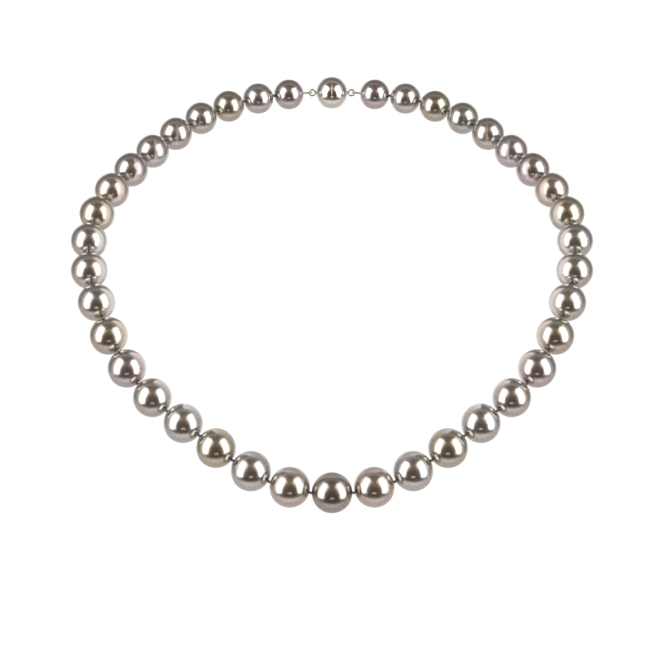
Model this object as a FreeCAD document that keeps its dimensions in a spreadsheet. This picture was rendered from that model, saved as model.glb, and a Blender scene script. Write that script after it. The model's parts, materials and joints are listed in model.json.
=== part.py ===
"""Graduated pearl necklace on knotted silk, worn shape, with a magnetic ball clasp at the nape.

Frame: millimetres, +Z up, +Y towards the wearer's back, +X to the right of someone facing the wearer.
The origin is the point on the clasp where it rests against the nape of the neck.
Every pearl is a rigid link between two knots, and every knot is a hinge of the strand.
"""
import FreeCAD, Part
import math
import os
import Sketcher
from FreeCAD import Placement, Rotation, Vector

PEARLS_PER_SIDE = 19

# Driving dimensions: alias, value (mm, or mm per pearl for the taper), what it is.
DIMENSIONS = [
    ("front_diameter", 12.0, "largest pearl, at the front"),
    ("taper", 0.075, "diameter lost per pearl from the front"),
    ("taper_growth", 0.003, "extra diameter lost per pearl squared"),
    ("drill_diameter", 0.9, "hole through each pearl"),
    ("knot_space", 0.65, "gap that a knot keeps between two pearls"),
    ("knot_diameter", 1.0, "silk knot"),
    ("thread_diameter", 0.5, "doubled silk thread"),
    ("thread_slack", 0.05, "thread end to the neighbour's knot"),
    ("clasp_diameter", 10.0, "ball clasp, both halves together"),
    ("clasp_gap", 0.1, "air between the two halves when closed"),
    ("clasp_wall", 0.5, "gold shell"),
    ("cup_flange", 0.6, "thickness of the magnet cup's flange"),
    ("cup_wall", 0.4, "side and floor of the magnet cup"),
    ("cup_clearance", 0.05, "cup to shell and magnet to cup"),
    ("magnet_diameter", 4.9, "disc magnet"),
    ("magnet_height", 2.0, "disc magnet"),
    ("eye_radius", 0.95, "centre line of the soldered eye"),
    ("eye_wire", 0.5, "wire of the soldered eye"),
    ("eye_offset", 0.1, "eye wire to the ball"),
    ("post_diameter", 0.9, "post of the eye, through the shell"),
    ("gimp_diameter", 0.6, "coiled French wire over the thread"),
    ("gimp_radius", 0.66, "centre line of the gimp loop round the eye"),
    ("gimp_reach", 1.9, "last pearl to the middle of the gimp loop"),
    ("gimp_gap", 0.05, "last pearl to the ends of the gimp"),
]
SIZE = {alias: value for alias, value, meaning in DIMENSIONS}

# Half of the worn line, from the middle of the front: half width, way back, height (mm).
WORN_LINE = [
    ("front", 0.0, 0.0, 0.0),
    ("beside_front", 20.0, 2.0, 4.0),
    ("breast", 38.5, 5.5, 16.3),
    ("below_collarbone", 59.0, 12.0, 33.4),
    ("collarbone", 70.7, 22.2, 56.0),
    ("widest", 74.2, 36.0, 75.4),
    ("shoulder", 68.1, 50.4, 91.0),
    ("side_of_neck", 56.7, 64.0, 103.3),
]
NAPE_HEIGHT = 124.0
BEHIND_NECK = (36.0, -9.0, 117.9)    # half width, depth from the nape's own depth, height
NAPE_DEPTH_LIMITS = (80.0, 110.0)    # the nape lies between these depths behind the front pearl

UP = Vector(0, 0, 1)

doc = FreeCAD.newDocument("pearl_necklace")


def make_sheet():
    sheet = doc.addObject("Spreadsheet::Sheet", "Dimensions")
    for row, (alias, value, meaning) in enumerate(DIMENSIONS, start=1):
        sheet.set(f"A{row}", meaning)
        sheet.set(f"B{row}", str(value))
        sheet.setAlias(f"B{row}", alias)
    doc.recompute()


def bind(thing, sizes):
    """Bind properties of a document object to expressions on the sheet's cells."""
    for name, expression in sizes.items():
        for alias in sorted(SIZE, key=len, reverse=True):
            expression = expression.replace(f"[{alias}]", f"Dimensions.{alias}")
        thing.setExpression(name, expression)


def add(kind, name, **sizes):
    thing = doc.addObject(kind, name)
    bind(thing, sizes)
    return thing


# ---------------------------------------------------------------- the worn line

def pearl_diameter(step):
    """Diameter of the pearl that is step places from the front."""
    return SIZE["front_diameter"] - SIZE["taper"] * step - SIZE["taper_growth"] * step ** 2


def diameter_cell(step):
    """The same diameter as an expression on the sheet."""
    return f"([front_diameter] - [taper] * {step} - [taper_growth] * {step ** 2})"


def worn_curve(nape_depth):
    """Closed curve through the worn line and its mirror image, starting at the front."""
    half = [Vector(*place) for name, *place in WORN_LINE]
    width, depth, height = BEHIND_NECK
    half.append(Vector(width, nape_depth + depth, height))
    nape = Vector(0, nape_depth, NAPE_HEIGHT)
    mirrored = [Vector(-point.x, point.y, point.z) for point in half[:0:-1]]
    points = half + [nape] + mirrored
    distances = [0.0]
    for here, there in zip(points, points[1:] + points[:1]):
        distances.append(distances[-1] + here.distanceToPoint(there))
    curve = Part.BSplineCurve()
    curve.interpolate(Points=points, Parameters=distances, PeriodicFlag=True)
    return curve


def step_along(curve, start, here, length):
    """Parameter of the next point of the curve that is one link away from here."""
    low = start
    high = start
    stride = length / 4
    while curve.value(high).distanceToPoint(here) < length:
        low = high
        high += stride
    for halving in range(40):
        middle = (low + high) / 2
        if curve.value(middle).distanceToPoint(here) < length:
            low = middle
        else:
            high = middle
    return high


def link_length(step):
    """Knot to knot; the last pearl's link ends in the gimp loop."""
    if step < PEARLS_PER_SIDE:
        return pearl_diameter(step) + SIZE["knot_space"]
    return pearl_diameter(step) + SIZE["knot_space"] / 2 + SIZE["gimp_reach"]


def lay_arm(nape_depth):
    """Knots of the +X arm, front to nape, one link apart along the worn line."""
    curve = worn_curve(nape_depth)
    front = curve.value(curve.FirstParameter)
    place = step_along(curve, curve.FirstParameter, front, link_length(0) / 2)
    knots = [curve.value(place)]
    knots[0].x = link_length(0) / 2
    for step in range(1, PEARLS_PER_SIDE + 1):
        place = step_along(curve, place, knots[-1], link_length(step))
        knots.append(curve.value(place))
    return knots


def clasp_link():
    """Middle of the gimp loop to the middle of the ball."""
    eye = 2 * SIZE["eye_radius"] + SIZE["eye_wire"] / 2 + SIZE["eye_offset"]
    return eye + SIZE["clasp_diameter"] / 2


def close_at_nape():
    """Find the nape's depth that brings the last link level with the clasp's own length."""
    near, far = NAPE_DEPTH_LIMITS
    for halving in range(30):
        middle = (near + far) / 2
        if lay_arm(middle)[-1].x < clasp_link():
            near = middle
        else:
            far = middle
    return lay_arm(far)


def shifted_to_origin(knots):
    """Move the line so that the origin is on the clasp's side towards the neck."""
    last = knots[-1]
    shift = Vector(0, SIZE["clasp_diameter"] / 2 - last.y, -last.z)
    return [knot + shift for knot in knots]


ARM = shifted_to_origin(close_at_nape())


def knots_of(side):
    """Knots of one arm: side is +1 for the right arm and -1 for the left."""
    return [Vector(side * knot.x, knot.y, knot.z) for knot in ARM]


def along(direction):
    """Rotation whose Z axis runs along the link and whose X axis is level."""
    level = UP.cross(direction)
    return Rotation(level, Vector(), direction, "ZXY")


# ---------------------------------------------------------------- pearls and silk

def drilled_pearl(name, step):
    ball = add("Part::Sphere", f"{name}_ball", Radius=f"{diameter_cell(step)} / 2")
    drill = add("Part::Cylinder", f"{name}_drill", Radius="[drill_diameter] / 2",
                Height=f"{diameter_cell(step)} * 1.2")
    bind(drill, {"Placement.Base.z": f"-{diameter_cell(step)} * 0.6"})
    nacre = doc.addObject("Part::Cut", f"{name}_nacre")
    nacre.Base = ball
    nacre.Tool = drill
    return nacre


def silk_knot(name, height):
    knot = add("Part::Sphere", name, Radius="[knot_diameter] / 2")
    bind(knot, {"Placement.Base.z": height})
    return knot


def silk_thread(name, low, high):
    thread = add("Part::Cylinder", name, Radius="[thread_diameter] / 2", Height=f"({high}) - ({low})")
    bind(thread, {"Placement.Base.z": low})
    return thread


def fuse(name, pieces):
    joined = doc.addObject("Part::MultiFuse", name)
    joined.Shapes = pieces
    return joined


def group(label, pieces, placement):
    compound = doc.addObject("Part::Compound", label)
    compound.Links = pieces
    compound.Placement = placement
    return compound


def make_front_pearl():
    """The middle pearl, with a knot on both sides of it."""
    end = "([front_diameter] + [knot_space]) / 2"
    nacre = drilled_pearl("front_pearl", 0)
    silk = fuse("front_silk", [
        silk_thread("front_thread", f"-{end}", end),
        silk_knot("front_knot_left", f"-{end}"),
        silk_knot("front_knot_right", end),
    ])
    centre = Vector(0, ARM[0].y, ARM[0].z)
    return group("front_pearl", [nacre, silk], Placement(centre, along(Vector(1, 0, 0))))


def make_pearl(label, step, inner, outer):
    """A pearl with the thread through it and the knot on its far side, seen from the front pearl."""
    last = step == PEARLS_PER_SIDE
    reach = f"{diameter_cell(step)} / 2 + [knot_space] / 2"
    start = f"-({reach}) + [knot_diameter] / 2 + [thread_slack]"
    nacre = drilled_pearl(label, step)
    if last:
        silk = silk_thread(f"{label}_thread", start, f"{diameter_cell(step)} / 2")
    else:
        silk = fuse(f"{label}_silk", [
            silk_thread(f"{label}_thread", start, reach),
            silk_knot(f"{label}_knot", reach),
        ])
    direction = (outer - inner).normalize()
    centre = inner + direction * (pearl_diameter(step) + SIZE["knot_space"]) / 2
    return group(label, [nacre, silk], Placement(centre, along(direction)))


# ---------------------------------------------------------------- clasp

def origin_plane(body, role):
    return next(plane for plane in body.Origin.OriginFeatures if plane.Role == role)


def revolved(label, outline, bindings):
    """A body turned about its own Z axis from a closed outline of lines and arcs on its XZ plane."""
    body = doc.addObject("PartDesign::Body", label)
    sketch = body.newObject("Sketcher::SketchObject", f"{label}_profile")
    sketch.AttachmentSupport = [(origin_plane(body, "XZ_Plane"), "")]
    sketch.MapMode = "FlatFace"
    outline(sketch)
    for name, expression in bindings.items():
        bind(sketch, {f"Constraints.{name}": expression})
    doc.recompute()
    turned = body.newObject("PartDesign::Revolution", f"{label}_turned")
    turned.Profile = sketch
    turned.ReferenceAxis = (sketch, ["V_Axis"])
    turned.Angle = 360
    body.Tip = turned
    return body


def polygon(sketch, corners):
    """Closed outline of level and upright lines through corners given as (radius, height)."""
    ends = corners[1:] + corners[:1]
    for (x1, y1), (x2, y2) in zip(corners, ends):
        sketch.addGeometry(Part.LineSegment(Vector(x1, y1, 0), Vector(x2, y2, 0)), False)
    for side in range(len(corners)):
        sketch.addConstraint(Sketcher.Constraint("Coincident", side, 2, (side + 1) % len(corners), 1))
    for side, ((x1, y1), (x2, y2)) in enumerate(zip(corners, ends)):
        kind = "Vertical" if abs(x1 - x2) < 1e-9 else "Horizontal"
        sketch.addConstraint(Sketcher.Constraint(kind, side))


def named_distance(sketch, kind, name, geometry, point, value):
    """Distance of a sketch point from the axis (DistanceX) or from the base line (DistanceY)."""
    index = sketch.addConstraint(Sketcher.Constraint(kind, -1, 1, geometry, point, value))
    sketch.renameConstraint(index, name)


def make_cup(label):
    """Cup that holds the magnet, with a flange that closes the half ball."""
    magnet = SIZE["magnet_diameter"] / 2 + SIZE["cup_clearance"]
    side = magnet + SIZE["cup_wall"]
    rim = SIZE["clasp_diameter"] / 2 - SIZE["clasp_wall"] - SIZE["cup_clearance"]
    flange = SIZE["cup_flange"]
    depth = SIZE["magnet_height"]
    floor = depth + SIZE["cup_wall"]

    def outline(sketch):
        polygon(sketch, [
            (magnet, 0), (rim, 0), (rim, -flange), (side, -flange),
            (side, -floor), (0, -floor), (0, -depth), (magnet, -depth),
        ])
        sketch.addConstraint(Sketcher.Constraint("PointOnObject", 0, 1, -1))
        sketch.addConstraint(Sketcher.Constraint("PointOnObject", 5, 1, -2))
        named_distance(sketch, "DistanceX", "magnet", 0, 1, magnet)
        named_distance(sketch, "DistanceX", "rim", 0, 2, rim)
        named_distance(sketch, "DistanceX", "side", 3, 2, side)
        named_distance(sketch, "DistanceY", "flange", 2, 1, -flange)
        named_distance(sketch, "DistanceY", "floor", 4, 1, -floor)
        named_distance(sketch, "DistanceY", "depth", 6, 1, -depth)

    return revolved(label, outline, {
        "magnet": "[magnet_diameter] / 2 + [cup_clearance]",
        "rim": "[clasp_diameter] / 2 - [clasp_wall] - [cup_clearance]",
        "side": "[magnet_diameter] / 2 + [cup_clearance] + [cup_wall]",
        "flange": "-[cup_flange]",
        "floor": "-([magnet_height] + [cup_wall])",
        "depth": "-[magnet_height]",
    })


def make_shell(label):
    """Hollow half ball, open at z = 0, with a hole at its pole for the post of the eye."""
    ball = add("Part::Sphere", f"{label}_outside", Radius="[clasp_diameter] / 2")
    hollow = add("Part::Sphere", f"{label}_inside", Radius="[clasp_diameter] / 2 - [clasp_wall]")
    half = add("Part::Cylinder", f"{label}_half", Radius="[clasp_diameter]", Height="[clasp_diameter]")
    bind(half, {"Placement.Base.z": "-[clasp_diameter]"})
    hole = add("Part::Cylinder", f"{label}_pole_hole", Radius="[post_diameter] / 2", Height="[clasp_diameter]")
    bind(hole, {"Placement.Base.z": "-[clasp_diameter]"})
    lower = doc.addObject("Part::Common", f"{label}_lower")
    lower.Base = ball
    lower.Tool = half
    wall = doc.addObject("Part::Cut", f"{label}_wall")
    wall.Base = lower
    wall.Tool = hollow
    shell = doc.addObject("Part::Cut", label)
    shell.Base = wall
    shell.Tool = hole
    return shell


def make_magnet(label):
    return add("Part::Cylinder", label, Radius="[magnet_diameter] / 2", Height="[magnet_height]")


def make_eye(label):
    """Upright ring that the gimp runs through, on a post that passes into the shell."""
    ring = add("Part::Torus", f"{label}_ring", Radius1="[eye_radius]", Radius2="[eye_wire] / 2")
    ring.Placement = Placement(Vector(), Rotation(Vector(0, 1, 0), 90))
    post = add("Part::Cylinder", f"{label}_post", Radius="[post_diameter] / 2",
               Height="[eye_wire] / 2 + [eye_offset] + [clasp_wall] * 1.5")
    bind(post, {"Placement.Base.z": "[eye_radius]"})
    return fuse(label, [ring, post])


def make_gimp(label):
    """Coiled wire sleeve as a plain tube: two legs from the last pearl and a half turn round the eye."""
    radius = SIZE["gimp_radius"]
    leg = SIZE["gimp_reach"] - SIZE["gimp_gap"]
    arc = Part.Arc(Vector(-radius, 0, 0), Vector(0, 0, radius), Vector(radius, 0, 0))
    left = Part.LineSegment(Vector(-radius, 0, -leg), Vector(-radius, 0, 0))
    right = Part.LineSegment(Vector(radius, 0, 0), Vector(radius, 0, -leg))
    path = Part.Wire([left.toShape(), arc.toShape(), right.toShape()])
    section = Part.Wire(Part.Circle(Vector(-radius, 0, -leg), UP, SIZE["gimp_diameter"] / 2).toShape())
    tube = path.makePipeShell([section], True, False)
    gimp = doc.addObject("Part::Feature", label)
    gimp.Shape = tube
    return gimp


def put(thing, centre, direction, offset):
    """Place a piece on a link's axis, offset along it from centre."""
    thing.Placement = Placement(centre + direction * offset, along(direction))


def make_clasp_half(side_name, side):
    knots = knots_of(side)
    inner, pivot = knots[-2:]
    link = (pivot - inner).normalize()
    inward = Vector(-side, 0, 0)
    ball = clasp_link()
    split = ball - SIZE["clasp_gap"] / 2
    gimp = make_gimp(f"gimp_{side_name}")
    put(gimp, pivot, link, 0)
    eye = make_eye(f"clasp_eye_{side_name}")
    put(eye, pivot, inward, SIZE["eye_radius"])
    shell = make_shell(f"clasp_shell_{side_name}")
    put(shell, pivot, inward, split)
    cup = make_cup(f"magnet_cup_{side_name}")
    put(cup, pivot, inward, split)
    magnet = make_magnet(f"magnet_{side_name}")
    put(magnet, pivot, inward, split - SIZE["magnet_height"])
    return [gimp, eye, shell, cup, magnet]


# ---------------------------------------------------------------- the whole necklace

def make_arm(side_name, side):
    knots = knots_of(side)
    pearls = []
    for step in range(1, PEARLS_PER_SIDE + 1):
        pearls.append(make_pearl(f"pearl_{side_name}_{step:02d}", step, knots[step - 1], knots[step]))
    return pearls


def export(nodes):
    doc.recompute()
    for thing in doc.Objects:
        bad = [state for state in thing.State if state in ("Invalid", "Error")]
        assert not bad, f"{thing.Name} did not recompute: {thing.State}"
    for node in nodes:
        assert not node.Shape.isNull() and node.Shape.isValid(), f"{node.Label} has no valid shape"
    os.makedirs("parts", exist_ok=True)
    for node in nodes:
        node.Shape.exportStep(os.path.join("parts", f"{node.Label}.step"))


make_sheet()
NODES = [make_front_pearl()]
for side_name, side in (("right", 1), ("left", -1)):
    NODES += make_arm(side_name, side)
    NODES += make_clasp_half(side_name, side)
export(NODES)
length = 2 * sum(link_length(step) for step in range(1, PEARLS_PER_SIDE + 1)) + link_length(0)
print(f"{len(NODES)} nodes, strand {length + 2 * clasp_link():.0f} mm with its clasp")
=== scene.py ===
"""Graduated pearl necklace: nacre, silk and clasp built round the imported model, in metres."""
import json
import math

import bmesh
import bpy
from mathutils import Matrix, Vector, noise


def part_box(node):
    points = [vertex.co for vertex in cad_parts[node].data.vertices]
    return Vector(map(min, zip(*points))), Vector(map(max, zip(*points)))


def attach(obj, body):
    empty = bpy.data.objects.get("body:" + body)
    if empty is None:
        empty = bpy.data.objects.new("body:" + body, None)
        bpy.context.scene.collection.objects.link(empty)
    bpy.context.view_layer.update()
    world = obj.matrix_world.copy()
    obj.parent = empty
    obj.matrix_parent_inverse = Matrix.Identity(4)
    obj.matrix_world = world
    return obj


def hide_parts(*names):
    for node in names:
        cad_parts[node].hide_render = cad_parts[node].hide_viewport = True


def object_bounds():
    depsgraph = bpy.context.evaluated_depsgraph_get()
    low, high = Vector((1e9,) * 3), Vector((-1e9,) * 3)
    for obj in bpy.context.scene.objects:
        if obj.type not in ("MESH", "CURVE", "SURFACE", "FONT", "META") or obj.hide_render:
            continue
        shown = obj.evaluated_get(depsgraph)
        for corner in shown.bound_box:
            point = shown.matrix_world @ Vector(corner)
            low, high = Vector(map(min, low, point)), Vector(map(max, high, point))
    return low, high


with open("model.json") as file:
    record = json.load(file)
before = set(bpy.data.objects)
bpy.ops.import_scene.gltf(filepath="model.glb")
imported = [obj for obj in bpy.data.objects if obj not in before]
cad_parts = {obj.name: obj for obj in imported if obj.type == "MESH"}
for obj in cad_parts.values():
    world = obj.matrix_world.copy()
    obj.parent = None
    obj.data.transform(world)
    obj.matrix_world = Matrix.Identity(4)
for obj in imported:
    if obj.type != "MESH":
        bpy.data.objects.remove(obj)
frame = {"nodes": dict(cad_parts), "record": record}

MM = 0.001
UP = Vector((0, 0, 1))
cad_box = [list(corner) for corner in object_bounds()]

# ---------------------------------------------------------------- sizes

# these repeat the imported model's, except for SEAM and POST_AIR

KNOT_SPACE = 0.65 * MM       # gap that a knot keeps between two pearls
GIMP_REACH = 1.9 * MM        # last pearl to the middle of the gimp loop
DRILL_RADIUS = 0.45 * MM
KNOT_RADIUS = 0.5 * MM
THREAD_RADIUS = 0.25 * MM
THREAD_SLACK = 0.05 * MM
GIMP_LOOP = 0.66 * MM        # centre line of the gimp round the eye
GIMP_RADIUS = 0.3 * MM
EYE_REACH = 2.25 * MM        # middle of the gimp loop to the ball's pole
BALL_RADIUS = 5.0 * MM
SHELL_WALL = 0.5 * MM
POST_RADIUS = 0.45 * MM
POST_AIR = 0.01 * MM         # between the post and the hole in the shell
SEAM = 0.02 * MM             # air between the rims of the closed clasp

joints = {joint["name"]: joint for joint in frame["record"]["behaviour"]["joints"]}
PEARLS_PER_SIDE = sum(1 for name in frame["nodes"] if name.startswith("pearl_right_"))


def pivots(side):
    """Knots of one arm from the front pearl outwards, then the gimp loop."""
    names = [f"open_{side}"] + [f"knot_{side}_{step:02d}" for step in range(1, PEARLS_PER_SIDE)]
    return [Vector(joints[name]["pos_m"]) for name in names + [f"gimp_turn_{side}"]]


def along(direction):
    """Rotation whose Z axis runs along a link and whose X axis is level."""
    z = direction.normalized()
    x = UP.cross(z).normalized()
    y = z.cross(x)
    return Matrix((x, y, z)).transposed().to_4x4()


# ---------------------------------------------------------------- materials

class Nodes:
    """Short way to write a material's node tree."""

    def __init__(self, material):
        material.use_nodes = True
        self.tree = material.node_tree
        self.tree.nodes.clear()

    def add(self, kind, inputs=None, **settings):
        """New node; an input is a value or another node's output."""
        node = self.tree.nodes.new(kind)
        for name, value in settings.items():
            setattr(node, name, value)
        for name, value in (inputs or {}).items():
            if isinstance(value, bpy.types.NodeSocket):
                self.tree.links.new(value, node.inputs[name])
            else:
                node.inputs[name].default_value = value
        return node

    def math(self, operation, first, second):
        node = self.add("ShaderNodeMath", {0: first, 1: second}, operation=operation)
        return node.outputs[0]

    def mix(self, factor, first, second, blend="MIX"):
        node = self.add("ShaderNodeMix", {"Factor": factor}, data_type="RGBA", blend_type=blend)
        for socket, value in ((node.inputs[6], first), (node.inputs[7], second)):
            if isinstance(value, bpy.types.NodeSocket):
                self.tree.links.new(value, socket)
            else:
                socket.default_value = value
        return node.outputs[2]

    def ramp(self, factor, *stops):
        """Colour ramp from (place, colour or grey value) pairs."""
        node = self.add("ShaderNodeValToRGB", {"Fac": factor})
        elements = node.color_ramp.elements
        while len(elements) < len(stops):
            elements.new(0.5)
        for element, (place, value) in zip(elements, stops):
            element.position = place
            element.color = value if isinstance(value, tuple) else (value, value, value, 1)
        return node.outputs[0]

    def scale_range(self, value, low, high):
        """Spread a value between 0 and 1 over low to high."""
        node = self.add("ShaderNodeMapRange", {"Value": value, "To Min": low, "To Max": high})
        return node.outputs["Result"]

    def output(self, shader):
        self.add("ShaderNodeOutputMaterial", {"Surface": shader})


def rgba(red, green, blue):
    """Opaque colour."""
    return (red, green, blue, 1.0)


# body colour, overtone, blush
TONES = {
    "peacock": (rgba(0.42, 0.385, 0.345), rgba(0.41, 0.405, 0.365), rgba(0.47, 0.41, 0.40)),
    "bronze": (rgba(0.60, 0.53, 0.46), rgba(0.60, 0.56, 0.53), rgba(0.67, 0.58, 0.56)),
    "silver": (rgba(0.56, 0.54, 0.52), rgba(0.60, 0.60, 0.60), rgba(0.64, 0.60, 0.60)),
    "pistachio": (rgba(0.54, 0.49, 0.40), rgba(0.54, 0.52, 0.44), rgba(0.59, 0.535, 0.49)),
    "taupe": (rgba(0.55, 0.51, 0.47), rgba(0.57, 0.55, 0.52), rgba(0.62, 0.55, 0.54)),
    "mauve": (rgba(0.54, 0.49, 0.48), rgba(0.57, 0.53, 0.53), rgba(0.64, 0.55, 0.56)),
    "grey": (rgba(0.54, 0.52, 0.48), rgba(0.56, 0.56, 0.54), rgba(0.61, 0.57, 0.56)),
}
# from the front pearl to the clasp, the same on both arms
STRAND_TONES = (
    "peacock bronze silver pistachio silver taupe mauve pistachio grey taupe "
    "grey pistachio bronze mauve silver taupe grey pistachio silver mauve"
).split()


def nacre(name, tone, radius, seed):
    """Dark nacre: drifting overtones, faint growth rings round the drill hole, a glossy skin."""
    body, overtone, blush = TONES[tone]
    material = bpy.data.materials.new(name)
    n = Nodes(material)
    place = n.add("ShaderNodeTexCoord").outputs["Object"]
    unit = n.add("ShaderNodeMapping", {
        "Vector": place,
        "Location": (seed * 3.1, seed * 1.7, seed * 0.9),
        "Scale": (1 / radius, 1 / radius, 1 / radius),
    }).outputs["Vector"]
    drift = n.add("ShaderNodeTexNoise", {"Vector": unit, "Scale": 0.9, "Detail": 3.0, "Distortion": 0.7})
    patches = n.add("ShaderNodeTexNoise", {"Vector": unit, "Scale": 2.3, "Detail": 4.0, "Roughness": 0.6})
    grain = n.add("ShaderNodeTexNoise", {"Vector": unit, "Scale": 26.0, "Detail": 5.0, "Roughness": 0.65})
    rings = n.add("ShaderNodeTexWave", {
        "Vector": unit, "Scale": 1.4, "Distortion": 4.5, "Detail": 2.0, "Detail Scale": 0.9,
    }, wave_type="BANDS", bands_direction="Z", wave_profile="SIN")
    pits = n.add("ShaderNodeTexVoronoi", {"Vector": unit, "Scale": 3.2, "Randomness": 1.0})
    pit = n.ramp(pits.outputs["Distance"], (0.0, 1.0), (0.05, 0.0))

    colour = n.mix(n.ramp(drift.outputs["Fac"], (0.38, 0.0), (0.62, 1.0)), body, overtone)
    colour = n.mix(n.ramp(patches.outputs["Fac"], (0.50, 0.0), (0.72, 0.7)), colour, blush)
    banding = n.scale_range(rings.outputs["Fac"], 0.0, 0.06)
    colour = n.mix(banding, colour, rgba(0.10, 0.09, 0.07))
    colour = n.mix(n.math("MULTIPLY", pit, 0.35), colour, rgba(0.07, 0.06, 0.05))

    gloss = n.scale_range(patches.outputs["Fac"], 0.18, 0.27)
    height = n.math("ADD", n.math("MULTIPLY", grain.outputs["Fac"], 0.25),
                    n.math("MULTIPLY", rings.outputs["Fac"], 0.03))
    height = n.math("SUBTRACT", height, n.math("MULTIPLY", pit, 0.5))
    bump = n.add("ShaderNodeBump", {"Height": height, "Strength": 0.08, "Distance": radius * 0.02})
    shader = n.add("ShaderNodeBsdfPrincipled", {
        "Base Color": colour,
        "Metallic": 0.975,
        "Roughness": gloss,
        "IOR": 1.6,
        "Coat Weight": 0.30,
        "Coat Roughness": 0.08,
        "Coat IOR": 1.5,
        "Sheen Weight": 0.06,
        "Sheen Roughness": 0.3,
        "Sheen Tint": rgba(1.0, 0.80, 0.82),
        "Normal": bump.outputs["Normal"],
    })
    n.output(shader.outputs["BSDF"])
    return material


def silk():
    """Twisted grey-brown silk."""
    material = bpy.data.materials.new("silk")
    n = Nodes(material)
    place = n.add("ShaderNodeTexCoord").outputs["Object"]
    strands = n.add("ShaderNodeTexWave", {
        "Vector": place, "Scale": 900.0, "Distortion": 1.5, "Detail": 2.0,
    }, wave_type="BANDS", bands_direction="DIAGONAL")
    fuzz = n.add("ShaderNodeTexNoise", {"Vector": place, "Scale": 5200.0, "Detail": 3.0})
    colour = n.mix(strands.outputs["Fac"], rgba(0.20, 0.18, 0.155), rgba(0.40, 0.37, 0.33))
    colour = n.mix(n.scale_range(fuzz.outputs["Fac"], 0.0, 0.4), colour, rgba(0.48, 0.45, 0.41))
    bump = n.add("ShaderNodeBump", {
        "Height": strands.outputs["Fac"], "Strength": 0.5, "Distance": 0.05 * MM,
    })
    shader = n.add("ShaderNodeBsdfPrincipled", {
        "Base Color": colour,
        "Roughness": n.scale_range(fuzz.outputs["Fac"], 0.5, 0.75),
        "Sheen Weight": 0.5,
        "Sheen Roughness": 0.4,
        "Normal": bump.outputs["Normal"],
    })
    n.output(shader.outputs["BSDF"])
    return material


def metal(name, colour, low, high, lines=0.0):
    """Plated metal with faint polishing lines and a little unevenness in its gloss."""
    material = bpy.data.materials.new(name)
    n = Nodes(material)
    place = n.add("ShaderNodeTexCoord").outputs["Object"]
    cloud = n.add("ShaderNodeTexNoise", {"Vector": place, "Scale": 420.0, "Detail": 4.0})
    stretched = n.add("ShaderNodeMapping", {"Vector": place, "Scale": (900.0, 12000.0, 12000.0)})
    scratch = n.add("ShaderNodeTexNoise", {
        "Vector": stretched.outputs["Vector"], "Scale": 1.0, "Detail": 3.0,
    })
    shade = n.mix(n.scale_range(cloud.outputs["Fac"], 0.0, 0.5), colour,
                  tuple(value * 0.86 for value in colour[:3]) + (1.0,))
    bump = n.add("ShaderNodeBump", {
        "Height": scratch.outputs["Fac"], "Strength": 0.08 + lines, "Distance": 0.01 * MM,
    })
    shader = n.add("ShaderNodeBsdfPrincipled", {
        "Base Color": shade,
        "Metallic": 1.0,
        "Roughness": n.scale_range(cloud.outputs["Fac"], low, high),
        "Normal": bump.outputs["Normal"],
    })
    n.output(shader.outputs["BSDF"])
    return material


SILK = silk()
WHITE_GOLD = metal("white_gold", rgba(0.79, 0.775, 0.74), 0.10, 0.24)
GIMP_WIRE = metal("gimp_wire", rgba(0.72, 0.70, 0.66), 0.18, 0.32)
NICKEL = metal("nickel", rgba(0.60, 0.60, 0.59), 0.22, 0.38, lines=0.2)

# ---------------------------------------------------------------- meshes


def piece(name, mesh, matrix, material, body, replaced=()):
    """Put a mesh in place, smooth it and let it ride on its body."""
    made = bpy.data.objects.new(name, mesh)
    bpy.context.collection.objects.link(made)
    made.matrix_world = matrix
    mesh.materials.clear()
    mesh.materials.append(material)
    for polygon in mesh.polygons:
        polygon.use_smooth = True
    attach(made, body)
    if replaced:
        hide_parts(*replaced)
    return made


def lathe(name, profile, sides, closed=True, shape=None):
    """Mesh turned about Z from (radius, height) points; shape moves each point."""
    mesh = bpy.data.meshes.new(name)
    points = []
    for radius, height in profile:
        for side in range(sides):
            angle = 2 * math.pi * side / sides
            point = Vector((radius * math.cos(angle), radius * math.sin(angle), height))
            points.append(shape(point) if shape else point)
    rows = len(profile)
    faces = []
    for row in range(rows if closed else rows - 1):
        here = row * sides
        there = (row + 1) % rows * sides
        for side in range(sides):
            after = (side + 1) % sides
            faces.append((here + side, here + after, there + after, there + side))
    mesh.from_pydata([tuple(point) for point in points], [], faces)
    mesh.update()
    return mesh


def facing_out(mesh):
    """Turn every face of a closed mesh outwards."""
    shell = bmesh.new()
    shell.from_mesh(mesh)
    bmesh.ops.recalc_face_normals(shell, faces=shell.faces)
    shell.to_mesh(mesh)
    shell.free()
    return mesh


def pearl_mesh(name, radius, seed):
    """Drilled pearl: slightly out of round, with the drill hole's edge rounded over."""
    edge = 0.06 * MM
    mouth = DRILL_RADIUS + edge
    rim = math.asin(mouth / radius)
    rings = 56
    profile = []
    for step in range(rings + 1):
        angle = rim + (math.pi - 2 * rim) * step / rings
        profile.append((radius * math.sin(angle), -radius * math.cos(angle)))
    top = radius * math.cos(rim)
    # rounded edge of the hole, then its wall, then the other edge
    profile.append((DRILL_RADIUS + edge * 0.3, top - edge * 0.35))
    profile.append((DRILL_RADIUS, top - edge * 1.2))
    profile.append((DRILL_RADIUS, -top + edge * 1.2))
    profile.append((DRILL_RADIUS + edge * 0.3, -top + edge * 0.35))
    offset = Vector((seed * 5.3, seed * 2.9, seed * 7.1))

    def uneven(point):
        swell = noise.noise(point / radius * 0.9 + offset) * 0.0045
        dimple = noise.noise(point / radius * 3.5 + offset) * 0.0012
        return point * (1 + swell + dimple - 0.003)

    return facing_out(lathe(name, profile, 96, shape=uneven))


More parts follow.
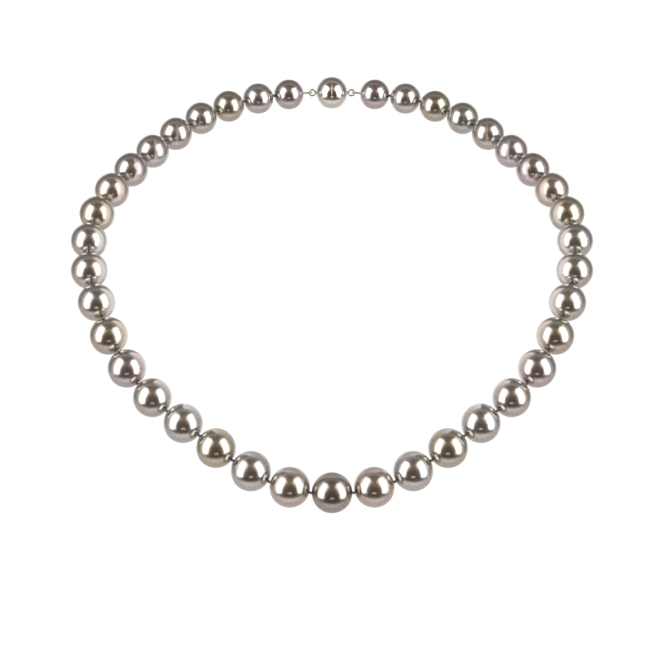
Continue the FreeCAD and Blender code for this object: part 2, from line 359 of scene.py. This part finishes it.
def silk_mesh(name, low, high, knots):
    """Two-ply thread along Z with a wound knot at each height in knots."""
    parts = bmesh.new()
    ply = THREAD_RADIUS * 0.52
    turns_per_metre = 1100
    row_height = 0.12 * MM
    rows = max(8, int((high - low) / row_height))
    for side in (0, math.pi):
        rings = []
        for row in range(rows + 1):
            height = low + (high - low) * row / rows
            angle = side + 2 * math.pi * turns_per_metre * height
            centre = Vector((math.cos(angle), math.sin(angle), 0)) * ply * 0.9 + UP * height
            rings.append(ring_of(parts, centre, Vector((1, 0, 0)), Vector((0, 1, 0)), ply, 8))
        join_rings(parts, rings)
    for height in knots:
        wind_knot(parts, height)
    bmesh.ops.recalc_face_normals(parts, faces=parts.faces)
    mesh = bpy.data.meshes.new(name)
    parts.to_mesh(mesh)
    parts.free()
    return mesh


def ring_of(parts, centre, side, other, radius, corners):
    """Round ring of new vertices in the plane of two square directions."""
    ring = []
    for corner in range(corners):
        turn = 2 * math.pi * corner / corners
        ring.append(parts.verts.new(centre + (side * math.cos(turn) + other * math.sin(turn)) * radius))
    return ring


def join_rings(parts, rings, closed=False):
    """Skin between neighbouring rings of vertices, with caps unless the tube is closed."""
    pairs = list(zip(rings, rings[1:]))
    if closed:
        pairs.append((rings[-1], rings[0]))
    for here, there in pairs:
        for corner in range(len(here)):
            after = (corner + 1) % len(here)
            parts.faces.new((here[corner], here[after], there[after], there[corner]))
    if not closed:
        parts.faces.new(rings[0][::-1])
        parts.faces.new(rings[-1])


def tube(parts, points, radius, corners=8, closed=False):
    """Round tube along a list of points."""
    rings = []
    count = len(points)
    side = None
    for index, point in enumerate(points):
        before = points[index - 1] if closed or index else point
        after = points[(index + 1) % count] if closed or index < count - 1 else point
        forward = (after - before).normalized()
        if side is None:
            side = forward.orthogonal().normalized()
        side = (side - forward * side.dot(forward)).normalized()
        other = forward.cross(side)
        rings.append(ring_of(parts, point, side, other, radius, corners))
    join_rings(parts, rings, closed)


def wind_knot(parts, height):
    """Overhand knot drawn tight: one closed trefoil of doubled silk."""
    strand = KNOT_RADIUS * 0.36
    reach = KNOT_RADIUS - strand
    steps = 48
    points = []
    for step in range(steps):
        turn = 2 * math.pi * step / steps
        radius = reach * (0.62 + 0.38 * math.cos(3 * turn))
        lift = reach * 0.55 * math.sin(3 * turn)
        points.append(Vector((radius * math.cos(2 * turn), radius * math.sin(2 * turn), height + lift)))
    tube(parts, points, strand, corners=8, closed=True)


# ---------------------------------------------------------------- pearls

def make_pearl(name, step, side_seed, centre, direction, radius, low, high, knots, body):
    """One drilled pearl and its own length of silk, centred between its two pivots."""
    seed = step * 1.37 + side_seed
    tone = STRAND_TONES[step]
    matrix = Matrix.Translation(centre) @ along(direction)
    material = nacre(f"nacre_{name}", tone, radius, seed)
    piece(f"{name}_nacre", pearl_mesh(name, radius, seed), matrix, material, body, [name])
    piece(f"{name}_silk", silk_mesh(f"{name}_silk", low, high, knots), matrix, SILK, body)


def make_front():
    """The front pearl, with a knot on each side of it."""
    right = pivots("right")[0]
    left = pivots("left")[0]
    half = (right - left).length / 2
    make_pearl("front_pearl", 0, 0.0, (right + left) / 2, right - left, half - KNOT_SPACE / 2,
               -half, half, [-half, half], "front")


def make_arm(side):
    """All the pearls of one arm; the last one has the gimp after it and no knot."""
    places = pivots(side)
    start_seed = 0.0 if side == "right" else 31.0
    for step in range(1, PEARLS_PER_SIDE + 1):
        inner, outer = places[step - 1:step + 1]
        link = outer - inner
        last = step == PEARLS_PER_SIDE
        ends = KNOT_SPACE / 2 + GIMP_REACH if last else KNOT_SPACE
        radius = (link.length - ends) / 2
        reach = radius + KNOT_SPACE / 2
        centre = inner + link.normalized() * reach
        low = -reach + KNOT_RADIUS + THREAD_SLACK
        make_pearl(f"pearl_{side}_{step:02d}", step, start_seed, centre, link, radius,
                   low, radius if last else reach, [] if last else [reach], f"{side}_{step:02d}")


# ---------------------------------------------------------------- French wire and clasp

def make_gimp(side):
    """Fine wire coiled round the thread, looped through the eye of the clasp."""
    inner, pivot = pivots(side)[-2:]
    wire = 0.055 * MM
    gap = 0.08 * MM          # last pearl to the ends of the coil
    coil = GIMP_RADIUS - wire
    leg = GIMP_REACH - gap
    length = 2 * leg + math.pi * GIMP_LOOP
    turns = 44
    steps_per_turn = 12
    steps = turns * steps_per_turn
    parts = bmesh.new()
    points = []
    core = []
    for step in range(steps + 1):
        place, forward = gimp_line(length * step / steps, leg)
        level = Vector((0, 1, 0))
        across = forward.cross(level)
        angle = 2 * math.pi * turns * step / steps
        points.append(place + (level * math.cos(angle) + across * math.sin(angle)) * coil)
        if step % steps_per_turn == 0:
            core.append(place)
    tube(parts, points, wire, corners=6)
    tube(parts, core, coil * 0.9, corners=10)
    bmesh.ops.recalc_face_normals(parts, faces=parts.faces)
    mesh = bpy.data.meshes.new(f"gimp_{side}_coil")
    parts.to_mesh(mesh)
    parts.free()
    matrix = Matrix.Translation(pivot) @ along(pivot - inner)
    piece(f"gimp_{side}_coil", mesh, matrix, GIMP_WIRE, f"{side}_{PEARLS_PER_SIDE:02d}",
          [f"gimp_{side}"])


def gimp_line(distance, leg):
    """Point and direction on the gimp's line: a leg, a half turn, and the other leg."""
    bend = math.pi * GIMP_LOOP
    if distance < leg:
        return Vector((-GIMP_LOOP, 0, distance - leg)), UP
    if distance < leg + bend:
        angle = (distance - leg) / GIMP_LOOP
        place = Vector((-GIMP_LOOP * math.cos(angle), 0, GIMP_LOOP * math.sin(angle)))
        return place, Vector((math.sin(angle), 0, math.cos(angle)))
    return Vector((GIMP_LOOP, 0, leg + bend - distance)), -UP


def make_clasp_shell(side):
    """Polished half ball with a softened rim; the rims of the two halves almost meet."""
    pivot = pivots(side)[-1]
    inward = Vector((-1 if side == "right" else 1, 0, 0))
    split = EYE_REACH + BALL_RADIUS
    edge = 0.07 * MM
    inner = BALL_RADIUS - SHELL_WALL
    post = POST_RADIUS + POST_AIR
    profile = []
    outer_steps, inner_steps = 40, 20
    first = math.asin(post / BALL_RADIUS)
    for step in range(outer_steps + 1):
        angle = first + (math.pi / 2 - first) * step / outer_steps
        profile.append((BALL_RADIUS * math.sin(angle), -BALL_RADIUS * math.cos(angle)))
    # the rim: out, over and in
    profile[-1] = (BALL_RADIUS, -edge)
    profile += [(BALL_RADIUS - edge * 0.3, -edge * 0.3), (BALL_RADIUS - edge, 0),
                (inner + edge, 0), (inner + edge * 0.3, -edge * 0.3), (inner, -edge)]
    first = math.asin(post / inner)
    for step in range(1, inner_steps + 1):
        angle = math.pi / 2 - (math.pi / 2 - first) * step / inner_steps
        profile.append((inner * math.sin(angle), -inner * math.cos(angle)))
    mesh = facing_out(lathe(f"clasp_shell_{side}_ball", profile, 96))
    matrix = Matrix.Translation(pivot + inward * (split - SEAM / 2)) @ along(inward)
    piece(f"clasp_shell_{side}_ball", mesh, matrix, WHITE_GOLD, f"clasp_{side}",
          [f"clasp_shell_{side}"])


def dress_clasp(side):
    """The clasp's small CAD pieces keep their shape and get their metals."""
    finishes = {
        f"clasp_eye_{side}": WHITE_GOLD,
        f"magnet_cup_{side}": WHITE_GOLD,
        f"magnet_{side}": NICKEL,
    }
    for node, material in finishes.items():
        mesh = frame["nodes"][node].data
        mesh.materials.clear()
        mesh.materials.append(material)


# ---------------------------------------------------------------- studio

def lamp(name, place, aim, width, height, radiance, colour, roll=0.0):
    """Soft box as seen by the pearls: radiance is its brightness, roll leans it (degrees)."""
    light = bpy.data.lights.new(name, "AREA")
    light.shape = "RECTANGLE"
    light.size = width
    light.size_y = height
    light.energy = radiance * math.pi * width * height
    light.color = colour
    made = bpy.data.objects.new(name, light)
    bpy.context.collection.objects.link(made)
    aimed = (Vector(aim) - Vector(place)).to_track_quat("-Z", "Y").to_matrix().to_4x4()
    made.visible_camera = False
    made.matrix_world = Matrix.Translation(place) @ aimed @ Matrix.Rotation(math.radians(roll), 4, "Z")
    return made


# Lights that stand on both sides: a tall soft box, a dimmer one that leans in at the top, a wide
# faint one that lets the outer edge fade, and a narrow one behind for the views from there.
# Name, degrees round from the camera, lean in degrees, distance, width, height, radiance, colour.
SIDE_LIGHTS = (
    ("soft_box", 61, 8, 0.65, 0.45, 1.06, 2.2, (1.0, 0.99, 0.975)),
    ("lean_in", 55, 32, 0.66, 0.47, 1.06, 1.0, (1.0, 0.985, 0.97)),
    ("halo", 70, 15, 0.72, 0.93, 1.34, 0.42, (1.0, 0.98, 0.965)),
    ("rear_box", 156, 0, 0.67, 0.20, 0.60, 0.55, (1.0, 0.99, 0.975)),
)
LIGHT_RISE = math.radians(13)


def make_studio(low, high):
    """Soft boxes, a low strip, a light for the floor, and what stands round the strand."""
    heart = Vector((0, low.y, low.z + 0.006))        # about the centre of the front pearl
    middle = Vector((0, low.y, (low.z + high.z) / 2))
    for side in (-1, 1):
        for name, turn, lean, reach, width, height, radiance, colour in SIDE_LIGHTS:
            angle = math.radians(turn)
            place = heart + reach * Vector((side * math.sin(angle), -math.cos(angle), math.sin(LIGHT_RISE)))
            lamp(f"{name}_{side}", place, heart, width, height, radiance, colour, roll=lean * side)
    # low narrow light that gives the pale line under the middle of each pearl
    low_place = middle + Vector((0, -0.75, -0.515))
    lamp("low_strip", low_place, middle, 0.34, 0.06, 2.5, (1.0, 0.95, 0.90))
    # light for the floor alone
    over_place = Vector((0, low.y, high.z + 0.75))
    overhead = lamp("overhead", over_place, (0, low.y, 0), 0.8, 0.8, 2.6, (1, 1, 1))
    overhead.visible_glossy = False
    make_world()
    make_floor(low)
    make_neck_card(low, high)


def room_tone(n, direction):
    """Colour of the studio in each direction, as the pearls reflect it."""
    parts = n.add("ShaderNodeSeparateXYZ", {"Vector": direction}).outputs
    behind = n.add("ShaderNodeMapRange", {"Value": parts["Y"], "From Min": -1.0}).outputs["Result"]
    # in front, between the soft boxes: brown below, olive above
    rise = n.add("ShaderNodeMapRange", {"Value": parts["Z"], "From Min": -0.35, "From Max": 0.75})
    tone = n.ramp(rise.outputs["Result"], (0.0, rgba(0.090, 0.060, 0.042)),
                  (0.35, rgba(0.115, 0.076, 0.052)), (0.80, rgba(0.27, 0.20, 0.115)))
    # paler towards the sides and behind
    nearby = n.ramp(behind, (0.05, 0.0), (0.3, 1.0))
    sides = n.ramp(behind, (0.3, rgba(0.10, 0.083, 0.068)), (0.65, rgba(0.22, 0.195, 0.18)),
                   (0.86, rgba(0.42, 0.395, 0.39)), (1.0, rgba(0.38, 0.355, 0.35)))
    sides.node.color_ramp.interpolation = "EASE"
    tone = n.mix(nearby, tone, sides)
    # a soft pale band overhead
    upward = n.ramp(parts["Z"], (0.50, 0.0), (0.95, 1.0))
    above = n.ramp(behind, (0.33, rgba(0.17, 0.14, 0.12)), (0.47, rgba(0.42, 0.375, 0.35)),
                   (0.55, rgba(0.30, 0.265, 0.245)), (0.68, rgba(0.17, 0.14, 0.12)))
    tone = n.mix(upward, tone, above)
    # the pale floor, which starts lower in front than behind
    lean = n.math("SUBTRACT", n.math("MULTIPLY", parts["Y"], 0.8), parts["Z"])
    downward = n.ramp(lean, (0.38, 0.0), (0.74, 1.0))
    downward.node.color_ramp.interpolation = "EASE"
    below = n.ramp(behind, (0.38, rgba(1.0, 0.92, 0.895)), (0.62, rgba(0.66, 0.60, 0.585)))
    return n.mix(downward, tone, below)


def make_world():
    """White to the camera; in reflections, the tones of the room."""
    world = bpy.data.worlds.new("studio")
    bpy.context.scene.world = world
    n = Nodes(world)
    direction = n.add("ShaderNodeTexCoord").outputs["Generated"]
    room = n.add("ShaderNodeBackground", {"Color": room_tone(n, direction), "Strength": 1.0})
    paper = n.add("ShaderNodeBackground", {"Color": rgba(1, 1, 1), "Strength": 1.0})
    seen = n.add("ShaderNodeLightPath").outputs["Is Camera Ray"]
    both = n.add("ShaderNodeMixShader", {0: seen, 1: room.outputs[0], 2: paper.outputs[0]})
    n.add("ShaderNodeOutputWorld", {"Surface": both.outputs[0]})


def neck_card_mesh(low, high):
    """Front of an oval column, with its painted light (brighter towards the sides, as if the side soft
    boxes lit a neck) and its faded edges in the colour layer.
    """
    half_width, half_depth = 0.046, 0.030
    bottom, top = low.z + 0.005, high.z + 0.05
    axis_y = (low.y + high.y) / 2
    reach = math.radians(118)
    columns, rows = 48, 12
    shell = bmesh.new()
    glow = shell.verts.layers.float_color.new("glow")
    grid = []
    for row in range(rows + 1):
        rise = row / rows
        line = []
        for column in range(columns + 1):
            turn = reach * (2 * column / columns - 1)
            spot = Vector((half_width * math.sin(turn), axis_y - half_depth * math.cos(turn),
                           bottom + (top - bottom) * rise))
            # painted light: the card glows brighter towards its sides, where the side soft boxes would
            # light a neck
            lit = 0.75 + 0.65 * math.sin(turn) ** 2
            edge = min(1.0, 4.0 * rise * (1 - rise)) * min(1.0, 3.0 * (1 - abs(turn) / reach))
            corner = shell.verts.new(spot)
            corner[glow] = (lit, lit * 0.93, lit * 0.91, edge)
            line.append(corner)
        grid.append(line)
    for below, above in zip(grid, grid[1:]):
        for column in range(columns):
            shell.faces.new((below[column], below[column + 1], above[column + 1], above[column]))
    mesh = bpy.data.meshes.new("neck_card")
    shell.to_mesh(mesh)
    shell.free()
    for polygon in mesh.polygons:
        polygon.use_smooth = True
    return mesh


def card_paint():
    """Glows with the painted light of a lit neck on its outer side only and is clear where alpha fades."""
    material = bpy.data.materials.new("card")
    n = Nodes(material)
    painted = n.add("ShaderNodeAttribute", attribute_name="glow")
    inside = n.add("ShaderNodeNewGeometry").outputs["Backfacing"]
    shown = n.math("MULTIPLY", painted.outputs["Alpha"], n.math("SUBTRACT", 1.0, inside))
    lit = n.add("ShaderNodeEmission", {"Color": painted.outputs["Color"], "Strength": 1.0})
    clear = n.add("ShaderNodeBsdfTransparent")
    both = n.add("ShaderNodeMixShader", {0: shown, 1: clear.outputs[0], 2: lit.outputs[0]})
    n.output(both.outputs[0])
    return material


def make_neck_card(low, high):
    """Curved glowing card where the neck would be, a painted reflection of a lit neck: only reflections see
    it, and only from outside.
    """
    mesh = neck_card_mesh(low, high)
    mesh.materials.append(card_paint())
    card = bpy.data.objects.new("neck_card", mesh)
    bpy.context.collection.objects.link(card)
    card.visible_camera = False
    card.visible_diffuse = False
    card.visible_shadow = False


def floor_paint(radius):
    """Matt off-white that turns clear towards the edge."""
    material = bpy.data.materials.new("floor")
    n = Nodes(material)
    place = n.add("ShaderNodeTexCoord").outputs["Object"]
    reach = n.add("ShaderNodeVectorMath", {0: place}, operation="LENGTH").outputs["Value"]
    fade = n.ramp(n.math("DIVIDE", reach, radius), (0.35, 0.0), (0.98, 1.0))
    fade.node.color_ramp.interpolation = "EASE"
    pale = n.add("ShaderNodeBsdfDiffuse", {"Color": rgba(0.92, 0.915, 0.91)})
    clear = n.add("ShaderNodeBsdfTransparent")
    both = n.add("ShaderNodeMixShader", {0: fade, 1: pale.outputs[0], 2: clear.outputs[0]})
    n.output(both.outputs[0])
    return material


def make_floor(low):
    """Round pale floor, well below the strand, that fades into the white round it."""
    radius = 0.6
    drop = 0.16
    mesh = bpy.data.meshes.new("floor")
    shell = bmesh.new()
    bmesh.ops.create_circle(shell, cap_ends=True, segments=96, radius=radius)
    shell.to_mesh(mesh)
    shell.free()
    mesh.materials.append(floor_paint(radius))
    floor = bpy.data.objects.new("floor", mesh)
    bpy.context.collection.objects.link(floor)
    floor.location = (0, low.y / 2, low.z - drop)
    floor.visible_glossy = False


def make_camera():
    """Level camera in front of the strand, a little above its middle pearl."""
    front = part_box("front_pearl")
    centre = (front[0] + front[1]) / 2
    distance = 0.9
    field = 0.193            # width of the view at the front pearl
    shift_x, rise = -0.0006, 0.0476
    camera = bpy.data.cameras.new("camera")
    camera.sensor_width = 36
    camera.lens = camera.sensor_width * distance / field
    camera.clip_end = 10
    made = bpy.data.objects.new("camera", camera)
    bpy.context.collection.objects.link(made)
    made.location = centre + Vector((shift_x, -distance, rise))
    made.rotation_euler = (math.pi / 2, 0, 0)
    bpy.context.scene.camera = made


low, high = (Vector(corner) for corner in cad_box)
make_camera()
make_front()
for side in ("right", "left"):
    make_arm(side)
    make_gimp(side)
    make_clasp_shell(side)
    dress_clasp(side)
make_studio(low, high)
bpy.context.scene.view_settings.view_transform = "Standard"
